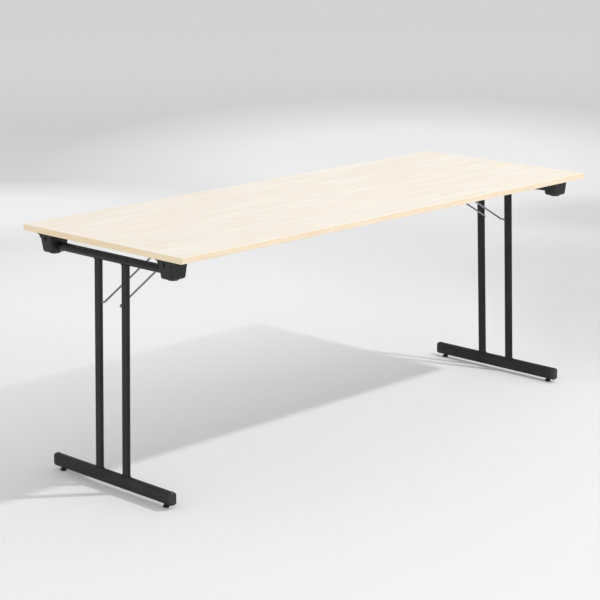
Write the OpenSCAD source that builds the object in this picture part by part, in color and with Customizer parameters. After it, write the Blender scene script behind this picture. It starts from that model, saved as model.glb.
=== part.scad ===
// Folding table: a laminated board on two T-shaped legs that fold flat against its underside.
// Each leg is a welded frame. Its round cross tube turns in two moulded corner brackets, and a
// U-shaped wire stay runs from its two columns to a catch under the board and holds it open.
// X runs along the board, Y across it and Z up. The origin is on the floor under its middle.
// Leg parts are drawn at the +X end and mirrored to the other end.

/* [Board] */
// Length of the board
board_length = 1800; // [1600:10:2200]
// Width of the board
board_width = 700; // [660:10:900]
// Height of the working surface above the floor
table_height = 740; // [700:5:780]
// Thickness of the board, laminates included
board_thick = 18; // [16:1:25]
// Thickness of each laminate sheet
laminate_thick = 0.8; // [0.5:0.1:1.2]
// Thickness of the edge strips
edge_thick = 2; // [1.5:0.5:3]
// Radius along the outer corners of the edge strips
edge_round = 1; // [0.5:0.1:1.4]
// Radius of the board's corners in plan
corner_round = 4; // [3:0.5:5]

/* [Leg frame] */
// Distance of the leg pivots from the ends of the board
pivot_inset = 46.5; // [40:0.5:80]
// Distance of the leg pivots below the board
pivot_drop = 39; // [36:0.5:46]
// Outward slope of an open leg, in degrees
splay = 2; // [0:0.5:4]
// Outside diameter of the round cross tube
cross_dia = 25; // [22:1:28]
// Wall of the round cross tube
cross_wall = 2; // [1.5:0.5:3]
// Distance between the two columns of a leg, centre to centre
column_spacing = 120; // [110:1:160]
// Width of the flat-oval columns, across the board
column_width = 30; // [25:1:34]
// Thickness of the flat-oval columns
column_thick = 12; // [11:0.5:16]
// Wall of the columns
column_wall = 1.5; // [1:0.25:2]

/* [Foot] */
// Length of the foot over its end caps
foot_length = 550; // [500:10:640]
// Height of the flat-oval foot tube
foot_high = 40; // [34:1:50]
// Width of the flat-oval foot tube
foot_wide = 20; // [18:1:26]
// Wall of the foot tube
foot_wall = 2; // [1.5:0.25:2.5]
// Height of the foot tube above the floor
foot_clearance = 11; // [10:0.5:14]
// Visible length of a foot cap
cap_length = 12; // [10:1:18]
// Corner radius of a foot cap in side view
cap_round = 9; // [4:1:9]
// Wall of a foot cap's plug
plug_wall = 2; // [1.5:0.25:3]
// Gap between a foot cap's plug and the glide's insert
plug_gap = 4.5; // [2:0.5:8]
// Distance of the glides from the ends of the foot
glide_inset = 42; // [38:1:65]

/* [Glide] */
// Diameter of a glide's pad
pad_dia = 22; // [18:1:26]
// Height of a glide's pad
pad_high = 5.7; // [4.5:0.1:7]
// Rounding of a glide's pad
pad_round = 1.8; // [1:0.1:2]
// Diameter of the levelling stud
stud_dia = 8; // [6:1:8]
// Length of the levelling stud
stud_length = 32; // [26:1:34]
// Depth of the stud's seat in its pad
seat_depth = 2.8; // [2:0.1:3]
// Diameter of the threaded insert's barrel
insert_dia = 11; // [10:0.5:12]
// Height of the threaded insert above the foot tube's underside
insert_high = 16; // [14:1:20]
// Diameter of the threaded insert's collar
collar_dia = 13.5; // [13:0.5:16]

/* [Corner bracket] */
// Distance of the bracket cups from the long edges of the board
bracket_setback = 62; // [50:1:80]
// Length of the cup at the board, along the tube
cup_length = 52; // [46:1:60]
// Width of the cup at the board, across the tube
cup_width = 69; // [64:1:76]
// Thickness of the cup under the tube socket
cup_floor = 7.9; // [6:0.1:12]
// Taper of the cup on each side across the tube
cup_taper_x = 6.5; // [5:0.5:8]
// Taper of the cup on each side along the tube
cup_taper_y = 1.5; // [1:0.5:4]
// Wall of the cup
cup_wall = 3; // [2.5:0.5:4]
// Rounding of the cup's lower corners
cup_round = 8; // [5:1:9]
// Corner radius of the cup at the board
cup_corner = 4; // [3.5:0.5:4.5]
// Thickness of the flange against the board
flange_thick = 4.5; // [3.5:0.5:6]
// Reach of the flange past the ends of the cup
flange_reach = 14; // [14:1:20]
// Reach of the flange past the sides of the cup
flange_side = 2; // [2:0.5:5]
// Radius of the flare between the cup's ends and the flange
flare_round = 12; // [8:1:12]
// Depth of the tube socket
socket_depth = 32; // [24:1:34]
// Wall of the tube socket
socket_wall = 3.4; // [2.5:0.1:3.6]
// Distance of the screws from the tube's axis, across the tube
bracket_screw_x = 20; // [18:1:24]
// Thickness of the ribs in the cup
rib_thick = 2.5; // [2:0.5:4]
// Diameter of the pocket in each side of the cup
pocket_dia = 10; // [8:0.5:11]
// Depth of the middle of a pocket's mouth below the board
pocket_drop = 18; // [17:0.5:22]
// Length of a pocket's axis inside the cup
pocket_length = 12; // [9:0.5:12]
// Slope of the pockets from the vertical, in degrees
pocket_tilt = 28; // [24:1:32]
// Diameter of the stacking pad under the cup
stack_dia = 34; // [30:1:40]
// Height of the stacking pad
stack_high = 3.5; // [3:0.5:6]
// Rounding of the stacking pad
stack_round = 2.5; // [1:0.5:2.8]

/* [Wire stay] */
// Diameter of the stay wire
wire_dia = 6; // [5:0.5:7]
// Distance from the leg pivot to the stay holes, down the columns
stay_drop = 136; // [120:1:150]
// Length of the stay between its hook axis and its crossbar
stay_length = 330; // [300:1:350]
// Gap between each arm of the stay and its column
stay_gap = 7; // [5:0.5:9]
// Reach of each hook into its column
hook_depth = 12; // [10:0.5:16]
// Centreline radius of the bends at the hooks
hook_bend = 4; // [3.6:0.2:5]
// Centreline radius of the bends at the crossbar
bar_bend = 9; // [7:0.5:10]
// Share of its sideways play by which the stay at the +X end has slid
stay_slid = 0.95; // [0:0.05:0.95]
// Depth of the crossbar axis below the board
bar_drop = 10; // [9.5:0.5:13]
// Angle by which a stay sinks in space while its leg folds, in degrees
stay_sink = 25; // [25:0.5:26]

/* [Catch and clip] */
// Thickness of the catch's steel strip
strip_thick = 2.5; // [2:0.5:3]
// Gap between the catch and the bends of a stay that has slid
strip_gap = 0.3; // [0.3:0.1:4]
// Inside bend radius of the catch
strip_bend = 2.5; // [2:0.5:3]
// Length of the catch's plate against the board
plate_length = 34; // [28:1:50]
// Length of the catch's sloping lip
lip_length = 8; // [6:0.5:11]
// Thickness of the lip
lip_thick = 1.8; // [1.5:0.1:1.9]
// Length of the turned end of the lip
lip_tip = 4; // [2:0.5:6]
// Turn of the lip's end, in degrees
lip_turn = 40; // [30:5:60]
// Width of the parking clip across the board
clip_width = 24; // [18:1:30]
// Thickness of the parking clip over its jaws
clip_thick = 19; // [17:1:24]
// Reach of the clip's jaws below the parked crossbar
jaw_reach = 6; // [4:0.5:7]
// Flare of the clip's jaws on each side
jaw_flare = 3; // [2.6:0.1:3.5]
// Thickness of the clip's ears
ear_thick = 3; // [2.5:0.5:4]
// Reach of each ear past the clip
ear_reach = 16; // [14:1:22]

/* [Screws and fits] */
// Shank diameter of the screws
screw_dia = 4; // [3.5:0.5:4.5]
// Head diameter of the screws
head_dia = 8.4; // [7:0.2:9]
// Head height of the screws
head_high = 2.6; // [2:0.2:3]
// Depth of the screws in the board
screw_bite = 12; // [9:0.5:13]
// Distance of the catch's screws from its sides
catch_screw_edge = 8; // [6:0.5:10]
// Radial play of the screws in the parts they hold
screw_play = 0.2; // [0.1:0.05:0.4]
// Radial play of the cross tube in its sockets
tube_play = 0.1; // [0.05:0.01:0.1]
// Radial play of the wire in the columns and of the studs in their inserts
pin_play = 0.08; // [0.05:0.01:0.1]
// Play of the crossbar in the catch and in the clip
seat_play = 0.35; // [0.3:0.05:0.4]
// Gap between parts that are pushed together
fit_gap = 0.05; // [0.03:0.01:0.1]
// Gap at the ends of parts that move
end_play = 0.3; // [0.2:0.05:0.4]

/* [Hidden] */
$fn = 64;
eps = 0.01;
hull_fn = 32;
left = -1;
right = 1;
front = -1;
back = 1;

board_bottom = table_height - board_thick;
core_length = board_length - 2 * edge_thick;
core_width = board_width - 2 * edge_thick;

// Leg frame: the pivot, and the column's foot end on its sloping centre line
pivot_x = board_length / 2 - pivot_inset;
pivot_z = board_bottom - pivot_drop;
foot_z = foot_clearance + foot_high / 2;
leg_length = (pivot_z - foot_z) / cos(splay);
foot_x = pivot_x + leg_length * sin(splay);
column_inner_y = (column_spacing - column_width) / 2;

// Foot: its caps and glides
tube_end = foot_length / 2 - cap_length;
glide_y = foot_length / 2 - glide_inset;
plug_length = glide_inset - cap_length - insert_dia / 2 - plug_gap;
stud_chamfer = 1;
collar_wrap = 3;

// Corner bracket: x across the tube, y from the cup's inner end to the board's edge, z from the board
cup_inner_y = board_width / 2 - bracket_setback - cup_length;
tube_end_y = cup_inner_y + socket_depth;
socket_r = cross_dia / 2 + tube_play;
cup_depth = pivot_drop + socket_r + cup_floor;
cup_slope = cup_taper_x / (cup_depth - cup_round);
bracket_screw_ys = [-flange_reach / 2, cup_length + flange_reach / 2];
rib_places = [cup_length / 4, 3 * cup_length / 4];
channel_r = head_dia / 2 + 2 * end_play;

// Wire stay: its hook axis, its slope when the leg stands, and where its crossbar lies
wire_r = wire_dia / 2;
seat_r = wire_r + seat_play;
arm_y = column_inner_y - stay_gap - wire_r;
hook_reach = wire_r + stay_gap + hook_depth;
stay_shift = stay_slid * (column_inner_y - arm_y - hook_bend);
leg_fold = 90 + splay;
hook_x = pivot_x + stay_drop * sin(splay);
hook_z = pivot_z - stay_drop * cos(splay);
bar_z = board_bottom - bar_drop;
stay_angle = asin((bar_z - hook_z) / stay_length);
bar_x = hook_x - stay_length * cos(stay_angle);
park_x = pivot_x - stay_drop - stay_length * cos(stay_angle - stay_sink);
park_z = pivot_z + stay_length * sin(stay_angle - stay_sink);
park_drop = board_bottom - park_z;

// Direction in which the crossbar leaves the catch, in degrees below the horizontal
sink_rate = stay_sink / leg_fold;
exit_down = stay_drop * sin(splay) + stay_length * cos(stay_angle) * sink_rate;
exit_in = stay_drop * cos(splay) + stay_length * sin(stay_angle) * sink_rate;
exit_angle = atan2(exit_down, exit_in);

// Catch and clip
strip_width = 2 * (arm_y - bar_bend - stay_shift - strip_gap);
hanger_x = seat_r + strip_thick + strip_bend;
lip_root = strip_thick / 3;
lip_end = lip_thick - fit_gap;
catch_screw_x = bar_x + hanger_x + plate_length / 2;
catch_screw_y = strip_width / 2 - catch_screw_edge;
clip_screw_y = clip_width / 2 + ear_reach / 2;

// Screw heads: height of the crown, and its top's share of the head's diameter
crown_high = head_high / 2;
crown_top = 0.72;

black_steel = [0.16, 0.16, 0.17];
black_plastic = [0.10, 0.10, 0.11];
bright_wire = [0.80, 0.81, 0.83];
zinc = [0.68, 0.69, 0.70];
birch = [0.93, 0.87, 0.77];
birch_edge = [0.90, 0.80, 0.64];
chipboard = [0.72, 0.58, 0.40];
liner_grey = [0.86, 0.84, 0.80];

// ---- Placing ----

// Children drawn at the +X end, for the end named by its sign
module at_end(x_side) {
    mirror([x_side < 0 ? 1 : 0, 0, 0]) children();
}

// Children drawn at the +Y edge, for the edge named by its sign
module at_edge(y_side) {
    mirror([0, y_side < 0 ? 1 : 0, 0]) children();
}

module all_corners() {
    for (x_side = [left, right])
        for (y_side = [front, back])
            at_end(x_side) at_edge(y_side) children();
}

// A profile in x and z, drawn as x and y, pulled through a width along Y
module across(width) {
    rotate([90, 0, 0]) linear_extrude(width, center = true) children();
}

// A profile in y and z, drawn as x and y, pulled through a width along X
module along(width) {
    rotate([90, 0, 90]) linear_extrude(width, center = true) children();
}

// ---- Plane shapes ----

// Flat-oval outline, long way up
module flat_oval(wide, high) {
    square([wide, high - wide], center = true);
    for (end = [-1, 1])
        translate([0, end * (high - wide) / 2]) circle(wide / 2);
}

// Outline with rounded corners, centred
module rounded(wide, high, r) {
    square([wide - 2 * r, high], center = true);
    square([wide, high - 2 * r], center = true);
    for (x = [-1, 1])
        for (y = [-1, 1])
            translate([x * (wide / 2 - r), y * (high / 2 - r)]) circle(r);
}

// ---- Board ----

module board_layer(bottom, thick) {
    translate([-core_length / 2, -core_width / 2, bottom]) cube([core_length, core_width, thick]);
}

// Blind holes for every screw under the board
module pilot_holes() {
    r = screw_dia / 2 + fit_gap;
    at_fixings() translate([0, 0, -eps]) cylinder(r = r, h = screw_bite + fit_gap + eps);
}

module board_core() {
    color(chipboard) difference() {
        board_layer(board_bottom + laminate_thick, board_thick - 2 * laminate_thick);
        pilot_holes();
    }
}

module top_laminate() {
    color(birch) board_layer(table_height - laminate_thick, laminate_thick);
}

module backing_laminate() {
    color(liner_grey) difference() {
        board_layer(board_bottom, laminate_thick);
        pilot_holes();
    }
}

// Section of an edge strip, with its inner face on the y axis and its outer corners rounded
module strip_section() {
    difference() {
        translate([0, board_bottom]) square([edge_thick, board_thick]);
        for (corner = [board_bottom + edge_round, table_height - edge_round])
            translate([edge_thick - edge_round, corner]) difference() {
                translate([0, corner < table_height - board_thick / 2 ? -edge_round - eps : 0])
                    square(edge_round + eps);
                circle(edge_round);
            }
    }
}

// Rounded corner of the board between two strips, drawn about its upright axis
module corner_turn() {
    rotate_extrude(angle = 90) {
        translate([0, board_bottom]) square([corner_round - edge_thick + eps, board_thick]);
        translate([corner_round - edge_thick, 0]) strip_section();
    }
}

// The long strips run through to the rounded corners
module long_edge_strip(y_side) {
    straight_x = board_length / 2 - corner_round;
    color(birch_edge) at_edge(y_side) {
        translate([0, core_width / 2, 0]) along(2 * straight_x) strip_section();
        for (x_side = [left, right])
            at_end(x_side) intersection() {
                translate([straight_x, board_width / 2 - corner_round, 0]) corner_turn();
                translate([straight_x, core_width / 2, board_bottom - board_thick])
                    cube([2 * corner_round, edge_thick + 1, 3 * board_thick]);
            }
    }
}

// The short strips end at the inner faces of the long ones
module short_edge_strip(x_side) {
    straight_y = board_width / 2 - corner_round;
    color(birch_edge) at_end(x_side) {
        translate([core_length / 2, 0, 0]) across(2 * straight_y) strip_section();
        for (y_side = [front, back])
            at_edge(y_side) intersection() {
                translate([board_length / 2 - corner_round, straight_y, 0]) corner_turn();
                translate([core_length / 2, straight_y, board_bottom - board_thick])
                    cube([edge_thick + 1, corner_round - edge_thick, 3 * board_thick]);
            }
    }
}

// ---- Screws ----

// Places on the underside of the board, one child for each screw
module at_bracket_screws() {
    all_corners() translate([pivot_x, cup_inner_y, board_bottom]) at_flange_screws() children();
}

module at_flange_screws() {
    for (x = [-1, 1])
        for (y = bracket_screw_ys)
            translate([x * bracket_screw_x, y, 0]) children();
}

module at_catch_screws() {
    for (x_side = [left, right])
        for (y = [-1, 1])
            at_end(x_side)
                translate([catch_screw_x, y * catch_screw_y, board_bottom]) children();
}

module at_clip_screws() {
    for (x_side = [left, right])
        for (y = [-1, 1])
            at_end(x_side) translate([park_x, y * clip_screw_y, board_bottom]) children();
}

module at_fixings() {
    at_bracket_screws() children();
    at_catch_screws() children();
    at_clip_screws() children();
}

// Pan-head screw driven up into the board through a part of a given thickness
module pan_screw(grip) {
    translate([0, 0, -grip]) {
        cylinder(d = screw_dia, h = grip + screw_bite);
        translate([0, 0, crown_high - head_high]) cylinder(d = head_dia, h = head_high - crown_high);
        translate([0, 0, -head_high]) cylinder(d1 = head_dia * crown_top, d2 = head_dia, h = crown_high);
    }
}

module screw_hole(grip) {
    translate([0, 0, -grip - eps]) cylinder(r = screw_dia / 2 + screw_play, h = grip + 2 * eps);
}

module bracket_screws() {
    color(zinc) at_bracket_screws() pan_screw(flange_thick);
}

module catch_screws() {
    color(zinc) at_catch_screws() pan_screw(strip_thick);
}

module clip_screws() {
    color(zinc) at_clip_screws() pan_screw(ear_thick);
}

// ---- Corner bracket ----

// The tapered cup, or the hollow inside it when drawn smaller by a wall
module cup(wall) {
    top_x = cup_width - 2 * wall;
    top_y = cup_length - 2 * wall;
    low_x = cup_width / 2 - cup_taper_x - cup_round;
    low_y = cup_taper_y + cup_round;
    hull() {
        translate([0, cup_length / 2, -1]) linear_extrude(wall > 0 ? 2 : 1)
            rounded(top_x, top_y, cup_corner - wall / 2, $fn = hull_fn);
        for (x = [-low_x, low_x])
            for (y = [low_y, cup_length - low_y])
                translate([x, y, cup_round - cup_depth]) sphere(cup_round - wall, $fn = hull_fn);
    }
}

// Prism along the tube that lies in the thickness of the cup's tapered side walls
module side_taper(wall, from, to) {
    top = cup_width / 2 - wall;
    low = top - cup_slope * (cup_depth - cup_round);
    translate([0, (from + to) / 2, 0]) across(to - from)
        polygon([[-top, 0], [top, 0], [low, cup_round - cup_depth], [-low, cup_round - cup_depth]]);
}

// Flange against the board, open over the cup, with a flare down to each end of the cup
module cup_flange() {
    flange_x = cup_width + 2 * flange_side;
    flange_y = cup_length + 2 * flange_reach;
    difference() {
        union() {
            translate([0, cup_length / 2, -flange_thick])
                linear_extrude(flange_thick) rounded(flange_x, flange_y, cup_corner + flange_side);
            intersection() {
                cup_flares();
                side_taper(0, -flange_reach, cup_length + flange_reach);
            }
        }
        translate([0, 0, 1]) side_taper(cup_wall / 2, cup_wall / 2, cup_length - cup_wall / 2);
        translate([0, cup_length / 2, 0])
            cube([cup_width - cup_wall, cup_length - cup_wall, 2 * eps], center = true);
    }
}

// Concave flares at both ends of the cup
module cup_flares() {
    for (end = [0, 1])
        mirror([0, end, 0]) translate([0, -end * cup_length, 0])
            along(cup_width) difference() {
                translate([-flare_round, -flange_thick - flare_round])
                    square([flare_round + cup_wall / 2, flare_round + eps]);
                translate([-flare_round, -flange_thick - flare_round]) circle(flare_round);
            }
}

// Round pocket sunk into a side of the cup, sloping up and inwards from its mouth
module side_pocket(wall) {
    mouth_x = cup_width / 2 - cup_slope * pocket_drop;
    translate([mouth_x, cup_length / 2, -pocket_drop]) rotate([0, -pocket_tilt, 0])
        translate([0, 0, -pocket_length]) cylinder(
            r = pocket_dia / 2 + wall,
            h = 2 * pocket_length + wall
        );
}

// Tube socket, ribs and the walls round the pockets inside the cup
module cup_inside() {
    translate([0, 0, -pivot_drop]) rotate([-90, 0, 0])
        cylinder(r = socket_r + socket_wall, h = socket_depth + end_play + socket_wall);
    for (y = rib_places)
        side_taper(0, y - rib_thick / 2, y + rib_thick / 2);
    translate([-rib_thick / 2, 0, -pivot_drop]) cube([rib_thick, cup_length, pivot_drop]);
    for (side = [0, 1])
        mirror([side, 0, 0]) side_pocket(cup_wall);
}

// Round pad under the cup on which folded tables stack
module stacking_pad() {
    r = stack_dia / 2;
    translate([0, cup_length / 2, -cup_depth - stack_high]) rotate_extrude() {
        square([r - stack_round, stack_high + cup_wall]);
        translate([0, stack_round]) square([r, stack_high + cup_wall / 2 - stack_round]);
        intersection() {
            translate([r - stack_round, stack_round]) circle(stack_round);
            square([r, stack_high]);
        }
    }
}

module bracket_body() {
    difference() {
        union() {
            intersection() {
                cup(0);
                union() {
                    difference() {
                        translate([-cup_width, -cup_length, -2 * cup_depth])
                            cube([2 * cup_width, 3 * cup_length, 2 * cup_depth]);
                        cup(cup_wall);
                    }
                    cup_inside();
                }
            }
            cup_flange();
            stacking_pad();
        }
        translate([0, -2 * flange_reach, -pivot_drop]) rotate([-90, 0, 0])
            cylinder(r = socket_r, h = 2 * flange_reach + socket_depth + end_play);
        for (side = [0, 1])
            mirror([side, 0, 0]) side_pocket(0);
        at_flange_screws() {
            screw_hole(flange_thick);
            translate([0, 0, -cup_depth]) cylinder(r = channel_r, h = cup_depth - flange_thick);
        }
    }
}

module corner_bracket(x_side, y_side) {
    color(black_plastic) at_end(x_side) at_edge(y_side)
        translate([pivot_x, cup_inner_y, board_bottom]) bracket_body();
}

// ---- Catch for an open leg ----

// Side view of the catch about the crossbar: the plate goes outwards along the board, the strip
// turns down and round the bar and ends in a thinner lip along the way the bar leaves
module catch_profile() {
    outer_r = seat_r + strip_thick;
    bend_r = strip_bend + strip_thick;
    reach = 2 * outer_r;
    difference() {
        union() {
            circle(outer_r);
            square([outer_r, bar_drop - bend_r]);
        }
        circle(seat_r);
        translate([-reach, 0]) square([reach + seat_r, bar_drop]);
        polygon([
            [0, 0],
            [reach * sin(exit_angle), -reach * cos(exit_angle)],
            [-reach, -reach],
            [-reach, 0]
        ]);
    }
    translate([hanger_x, bar_drop - bend_r]) difference() {
        union() {
            circle(bend_r);
            translate([0, strip_bend]) square([plate_length, strip_thick]);
        }
        circle(strip_bend);
        translate([-strip_bend, -bend_r]) square([bend_r + strip_bend, bend_r]);
        translate([0, -bend_r]) square([bend_r, bend_r + strip_bend]);
    }
    rotate(exit_angle - 90) translate([seat_r + strip_thick / 2, -lip_length]) {
        translate([-lip_thick / 2, 0]) square([lip_thick, lip_length + lip_root]);
        translate([0, lip_thick / 2]) rotate(lip_turn) translate([-lip_end / 2, -lip_tip])
            square([lip_end, lip_tip]);
    }
}

module stay_catch(x_side) {
    color(zinc) at_end(x_side) difference() {
        translate([bar_x, 0, bar_z]) across(strip_width) catch_profile();
        for (y = [-1, 1])
            translate([catch_screw_x, y * catch_screw_y, board_bottom]) screw_hole(strip_thick);
    }
}

// ---- Clip for a folded leg ----

// Side view of the clip about the parked crossbar: a block on the board with a flared slot
module clip_profile() {
    tip_r = (clip_thick / 2 - seat_r - jaw_flare) / 2;
    tip_x = clip_thick / 2 - tip_r;
    difference() {
        union() {
            translate([-clip_thick / 2, -jaw_reach + tip_r])
                square([clip_thick, park_drop + jaw_reach - tip_r]);
            for (x = [-1, 1])
                translate([x * tip_x, -jaw_reach + tip_r]) circle(tip_r);
        }
        circle(seat_r);
        polygon([
            [-seat_r, 0], [seat_r, 0],
            [seat_r + jaw_flare, -jaw_reach - eps], [-seat_r - jaw_flare, -jaw_reach - eps]
        ]);
    }
}

module parking_clip(x_side) {
    color(black_plastic) at_end(x_side) translate([park_x, 0, park_z]) difference() {
        union() {
            across(clip_width) clip_profile();
            translate([0, 0, park_drop - ear_thick]) linear_extrude(ear_thick) {
                square([clip_thick, 2 * clip_screw_y], center = true);
                for (y = [-1, 1])
                    translate([0, y * clip_screw_y]) circle(clip_thick / 2);
            }
        }
        for (y = [-1, 1])
            translate([0, y * clip_screw_y, park_drop]) screw_hole(ear_thick);
    }
}

// ---- Leg frame ----

module cross_tube_solid(r) {
    translate([pivot_x, 0, pivot_z]) rotate([90, 0, 0])
        cylinder(r = r, h = 2 * tube_end_y, center = true);
}

module cross_tube(x_side) {
    color(black_steel) at_end(x_side) difference() {
        cross_tube_solid(cross_dia / 2);
        translate([pivot_x, 0, pivot_z]) rotate([90, 0, 0])
            cylinder(r = cross_dia / 2 - cross_wall, h = 2 * tube_end_y + 2 * eps, center = true);
    }
}

// The foot tube's outside, or its bore when drawn smaller by a wall
module foot_solid(wall, length) {
    translate([foot_x, 0, foot_z]) across(length)
        flat_oval(foot_wide - 2 * wall, foot_high - 2 * wall);
}

// Hole in the inner face of a column for the hook of the stay
module stay_hole() {
    translate([hook_x, 0, hook_z]) rotate([-90, 0, 0]) cylinder(
        r = wire_r + pin_play,
        h = column_inner_y + column_width / 2
    );
}

// Flat-oval column, cut to fit the cross tube above it and the foot tube below it
module column(x_side, y_side) {
    color(black_steel) at_end(x_side) at_edge(y_side) difference() {
        translate([pivot_x, column_spacing / 2, pivot_z]) rotate([0, 180 - splay, 0])
            linear_extrude(leg_length) difference() {
                flat_oval(column_thick, column_width);
                flat_oval(column_thick - 2 * column_wall, column_width - 2 * column_wall);
            }
        cross_tube_solid(cross_dia / 2 + fit_gap);
        translate([0, 0, -fit_gap]) foot_solid(-fit_gap, foot_length);
        stay_hole();
    }
}

module foot_tube(x_side) {
    color(black_steel) at_end(x_side) difference() {
        foot_solid(0, 2 * tube_end);
        foot_solid(foot_wall, 2 * tube_end + 2 * eps);
        for (y_side = [front, back])
            at_edge(y_side) translate([foot_x, glide_y, 0])
                cylinder(r = insert_dia / 2 + fit_gap, h = foot_z);
    }
}

// Side view of a foot cap, from the end of the tube outwards
module cap_profile() {
    low = -foot_high / 2;
    square_part = cap_length - cap_round;
    translate([0, low]) square([square_part, foot_high]);
    translate([0, low + cap_round]) square([cap_length, foot_high - 2 * cap_round]);
    for (z = [-1, 1])
        translate([square_part, z * (foot_high / 2 - cap_round)]) circle(cap_round);
}

module foot_cap(x_side, y_side) {
    plug_wide = foot_wide - 2 * foot_wall - 2 * fit_gap;
    plug_high = plug_wide + foot_high - foot_wide;
    color(black_plastic) at_end(x_side) at_edge(y_side) {
        intersection() {
            translate([foot_x, tube_end + cap_length / 2, foot_z]) across(cap_length)
                flat_oval(foot_wide, foot_high);
            translate([foot_x, tube_end, foot_z]) along(foot_wide) cap_profile();
        }
        difference() {
            translate([foot_x, tube_end - plug_length / 2, foot_z]) across(plug_length + 2 * eps)
                flat_oval(plug_wide, plug_high);
            translate([foot_x, tube_end - plug_length / 2 - plug_wall, foot_z]) across(plug_length)
                flat_oval(plug_wide - 2 * plug_wall, plug_high - 2 * plug_wall);
        }
    }
}

// ---- Levelling glide ----

// Threaded insert in the underside of the foot tube, its collar shaped to the tube
module glide_insert(x_side, y_side) {
    low = pad_high + end_play;
    color(zinc) at_end(x_side) at_edge(y_side) difference() {
        union() {
            difference() {
                translate([foot_x, glide_y, low])
                    cylinder(d = collar_dia, h = foot_clearance + collar_wrap - low);
                foot_solid(-fit_gap, foot_length);
            }
            translate([foot_x, glide_y, low])
                cylinder(d = insert_dia, h = foot_clearance + insert_high - low);
        }
        translate([foot_x, glide_y, 0])
            cylinder(r = stud_dia / 2 + pin_play, h = foot_z + foot_high);
    }
}

module glide_stud(x_side, y_side) {
    color(zinc) at_end(x_side) at_edge(y_side)
        translate([foot_x, glide_y, pad_high - seat_depth + fit_gap]) {
            cylinder(d = stud_dia, h = stud_length - stud_chamfer);
            translate([0, 0, stud_length - stud_chamfer])
                cylinder(d1 = stud_dia, d2 = stud_dia - 2 * stud_chamfer, h = stud_chamfer);
        }
}

module glide_pad(x_side, y_side) {
    r = pad_dia / 2;
    color(black_plastic) at_end(x_side) at_edge(y_side)
        translate([foot_x, glide_y, 0]) difference() {
            rotate_extrude() {
                square([r - pad_round, pad_high]);
                translate([0, pad_round]) square([r, pad_high - 2 * pad_round]);
                for (z = [pad_round, pad_high - pad_round])
                    translate([r - pad_round, z]) circle(pad_round);
            }
            translate([0, 0, pad_high - seat_depth])
                cylinder(r = stud_dia / 2 + fit_gap, h = pad_high);
        }
}

// ---- Wire stay ----

// Straight wire along X or Y from the origin
module wire_x(length) {
    rotate([0, 90, 0]) cylinder(r = wire_r, h = length);
}

module wire_y(length) {
    rotate([-90, 0, 0]) cylinder(r = wire_r, h = length);
}

// Quarter bend in the XY plane about the origin, from one angle over 90 degrees
module wire_corner(from, bend) {
    rotate([0, 0, from]) rotate_extrude(angle = 90) translate([bend, 0]) circle(wire_r);
}

// One half of the stay in its own plane: x from the hook axis to the crossbar, y from the middle
module half_stay() {
    translate([0, arm_y + hook_bend, 0]) wire_y(hook_reach - hook_bend);
    translate([hook_bend, arm_y + hook_bend, 0]) wire_corner(180, hook_bend);
    translate([hook_bend, arm_y, 0]) wire_x(stay_length - hook_bend - bar_bend);
    translate([stay_length - bar_bend, arm_y - bar_bend, 0]) wire_corner(0, bar_bend);
    translate([stay_length, 0, 0]) wire_y(arm_y - bar_bend);
}

module wire_stay(x_side) {
    shift = x_side > 0 ? stay_shift : 0;
    color(bright_wire) at_end(x_side) translate([hook_x, shift, hook_z])
        rotate([0, -stay_angle, 180]) {
            half_stay();
            mirror([0, 1, 0]) half_stay();
        }
}

board_core();
top_laminate();
backing_laminate();
long_edge_strip(front);  // edge_strip_front
long_edge_strip(back);  // edge_strip_back
short_edge_strip(left);  // edge_strip_left
short_edge_strip(right);  // edge_strip_right
corner_bracket(left, front);  // corner_bracket_front_left
corner_bracket(left, back);  // corner_bracket_back_left
corner_bracket(right, front);  // corner_bracket_front_right
corner_bracket(right, back);  // corner_bracket_back_right
bracket_screws();
stay_catch(left);  // stay_catch_left
stay_catch(right);  // stay_catch_right
catch_screws();
parking_clip(left);  // parking_clip_left
parking_clip(right);  // parking_clip_right
clip_screws();
cross_tube(left);  // cross_tube_left
column(left, front);  // column_front_left
column(left, back);  // column_back_left
foot_tube(left);  // foot_tube_left
foot_cap(left, front);  // foot_cap_front_left
foot_cap(left, back);  // foot_cap_back_left
glide_insert(left, front);  // glide_insert_front_left
glide_insert(left, back);  // glide_insert_back_left
cross_tube(right);  // cross_tube_right
column(right, front);  // column_front_right
column(right, back);  // column_back_right
foot_tube(right);  // foot_tube_right
foot_cap(right, front);  // foot_cap_front_right
foot_cap(right, back);  // foot_cap_back_right
glide_insert(right, front);  // glide_insert_front_right
glide_insert(right, back);  // glide_insert_back_right
wire_stay(left);  // wire_stay_left
wire_stay(right);  // wire_stay_right
glide_stud(left, front);  // glide_stud_front_left
glide_stud(left, back);  // glide_stud_back_left
glide_stud(right, front);  // glide_stud_front_right
glide_stud(right, back);  // glide_stud_back_right
glide_pad(left, front);  // glide_pad_front_left
glide_pad(left, back);  // glide_pad_back_left
glide_pad(right, front);  // glide_pad_front_right
glide_pad(right, back);  // glide_pad_back_right
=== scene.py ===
import math

import bmesh
import bpy
import numpy as np
from mathutils import Matrix, Vector


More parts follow.
